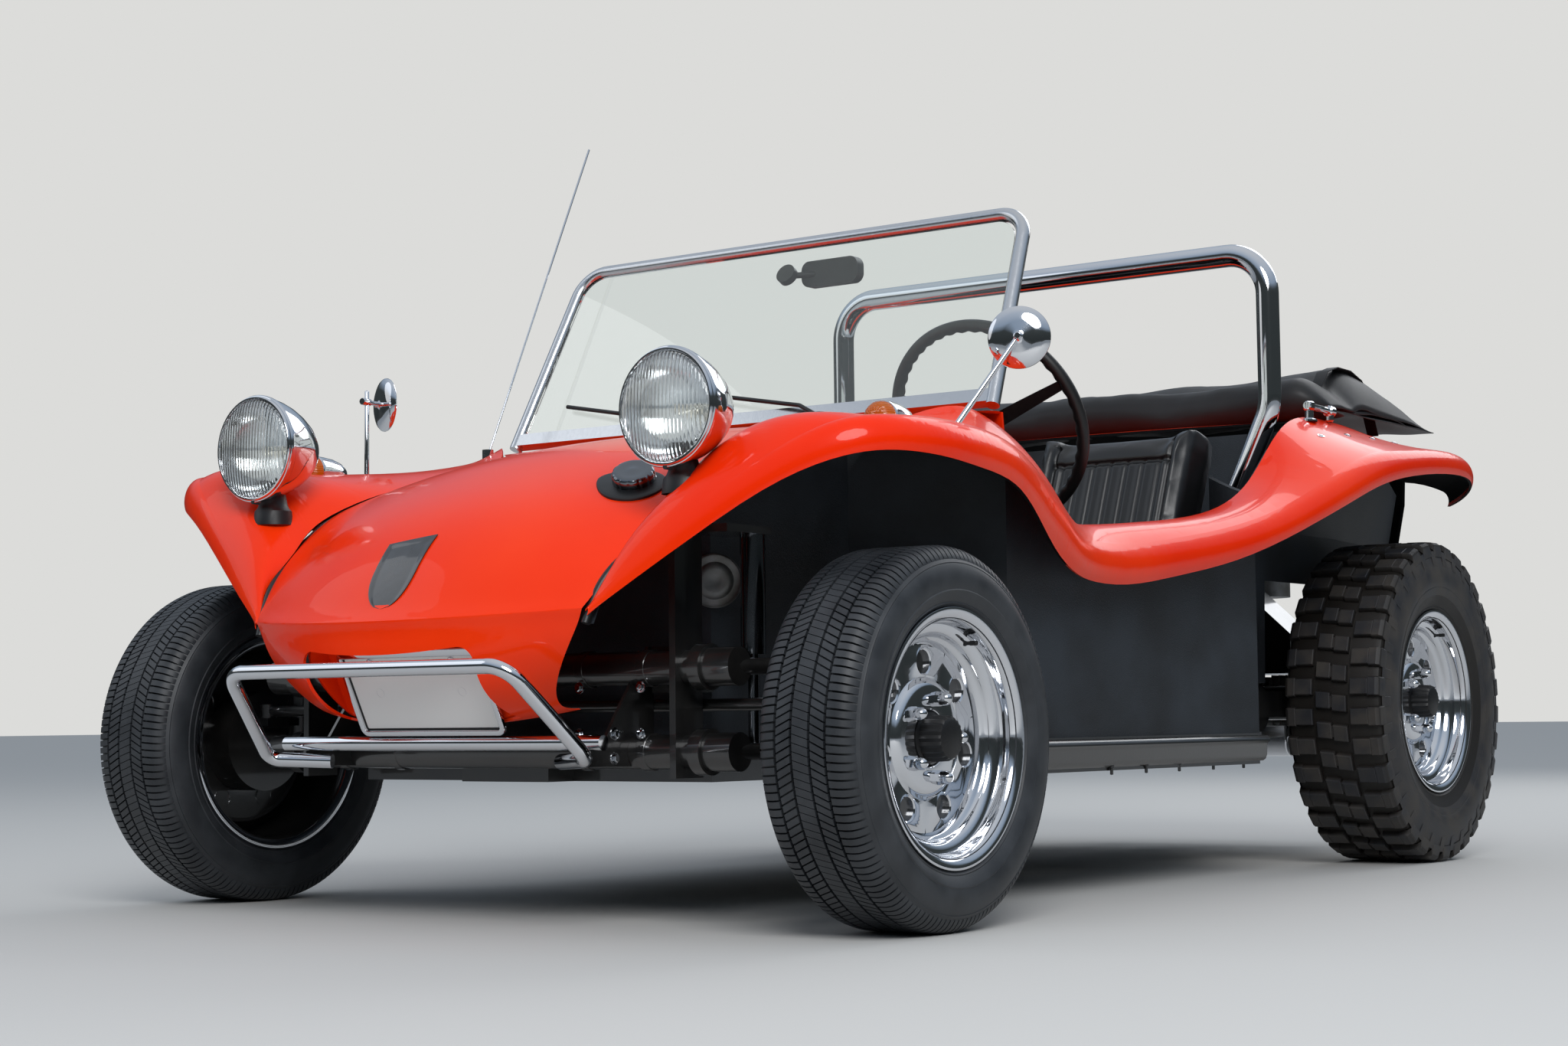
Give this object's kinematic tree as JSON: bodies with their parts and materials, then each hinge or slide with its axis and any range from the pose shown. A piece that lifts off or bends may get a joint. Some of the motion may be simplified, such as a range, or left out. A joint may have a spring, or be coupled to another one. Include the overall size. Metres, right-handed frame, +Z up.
{
  "type": "dune buggy",
  "caption": "Open two-seat dune buggy with glass-fibre body, roll hoop, folded soft top and rear engine; the front wheels steer with the steering wheel and all wheels roll.",
  "frame": {"origin": "centre of the car's bounding box on the floor", "axes": "+Z up, the car faces -Y, its left side is +X"},
  "size_m": [1.642, 3.116, 1.5008],
  "materials": {
    "body_paint": "orange-red gel coat",
    "tub_black": "black textured underside",
    "black_steel": "black paint",
    "polished_steel": "polished",
    "alloy": "cast",
    "glass": "clear",
    "amber": "amber lens",
    "red_lens": "red lens",
    "white_plate": "blank white",
    "vinyl": "black vinyl",
    "black_plastic": "black",
    "tyre": "black rubber"
  },
  "bodies": {
    "root": {"floorpan": "black_steel", "tub": "tub_black", "body_side_left": "body_paint", "body_side_right": "body_paint", "hood": "body_paint", "rear_deck": "body_paint", "dashboard": "body_paint", "windscreen_frame": "polished_steel", "windscreen_glass": "glass", "roll_bar": "polished_steel", "front_bumper": "polished_steel", "bumper_brackets": "black_steel", "headlights": "polished_steel", "headlight_lenses": "glass", "turn_signals": "amber", "tail_lamps": "red_lens", "number_plate": "white_plate", "mirrors": "polished_steel", "inner_mirror": "black_plastic", "filler_cap": "polished_steel", "wipers": "polished_steel", "antenna": "polished_steel", "pedals": "black_steel", "front_beam": "black_steel", "trailing_arms": "black_steel", "kingpin_carriers": "black_steel", "front_shocks": "black_steel", "steering_column": "black_steel", "gearbox": "alloy", "rear_axle": "black_steel", "engine": "alloy", "fan_shroud": "black_steel", "exhaust": "polished_steel", "seat_cushions": "vinyl", "seat_backs": "vinyl", "soft_top": "vinyl", "gear_lever": "polished_steel", "handbrake": "polished_steel"},
    "steering_wheel": {"steering_wheel": "black_plastic"},
    "tie_rods": {"tie_rods": "black_steel"},
    "knuckle_left": {"knuckle_left": "black_steel"},
    "knuckle_right": {"knuckle_right": "black_steel"},
    "wheel_front_left": {"tyre_front_left": "tyre", "rim_front_left": "polished_steel"},
    "wheel_front_right": {"tyre_front_right": "tyre", "rim_front_right": "polished_steel"},
    "wheel_rear_left": {"tyre_rear_left": "tyre", "rim_rear_left": "polished_steel"},
    "wheel_rear_right": {"tyre_rear_right": "tyre", "rim_rear_right": "polished_steel"}
  },
  "joints": [
    {"name": "steer_left", "type": "hinge", "parent": "root", "child": "knuckle_left", "pos_m": [0.588, -1.114, 0.289], "axis": [0, 0, 1], "range_deg": [-30, 30]},
    {"name": "spin_front_left", "type": "hinge", "parent": "knuckle_left", "child": "wheel_front_left", "pos_m": [0.7285, -1.114, 0.289], "axis": [1, 0, 0], "continuous": true},
    {"name": "spin_rear_left", "type": "hinge", "parent": "root", "child": "wheel_rear_left", "pos_m": [0.653, 0.918, 0.343], "axis": [1, 0, 0], "continuous": true},
    {"name": "steer_right", "type": "hinge", "parent": "root", "child": "knuckle_right", "pos_m": [-0.588, -1.114, 0.289], "axis": [0, 0, 1], "range_deg": [-30, 30]},
    {"name": "spin_front_right", "type": "hinge", "parent": "knuckle_right", "child": "wheel_front_right", "pos_m": [-0.7285, -1.114, 0.289], "axis": [1, 0, 0], "continuous": true},
    {"name": "spin_rear_right", "type": "hinge", "parent": "root", "child": "wheel_rear_right", "pos_m": [-0.653, 0.918, 0.343], "axis": [1, 0, 0], "continuous": true},
    {"name": "steering_turn", "type": "hinge", "parent": "root", "child": "steering_wheel", "pos_m": [0.35, -0.254, 0.87], "axis": [0, 0.891, 0.454], "range_deg": [-425, 425]},
    {"name": "track_rod_slide", "type": "slide", "parent": "root", "child": "tie_rods", "axis": [1, 0, 0], "range_m": [-0.044, 0.044]}
  ],
  "couplings": [
    {"joint": "steer_right", "follows": "steer_left", "ratio": 1},
    {"joint": "steering_turn", "follows": "steer_left", "ratio": 14},
    {"joint": "track_rod_slide", "follows": "steer_left", "m_per_rad": 0.082}
  ]
}
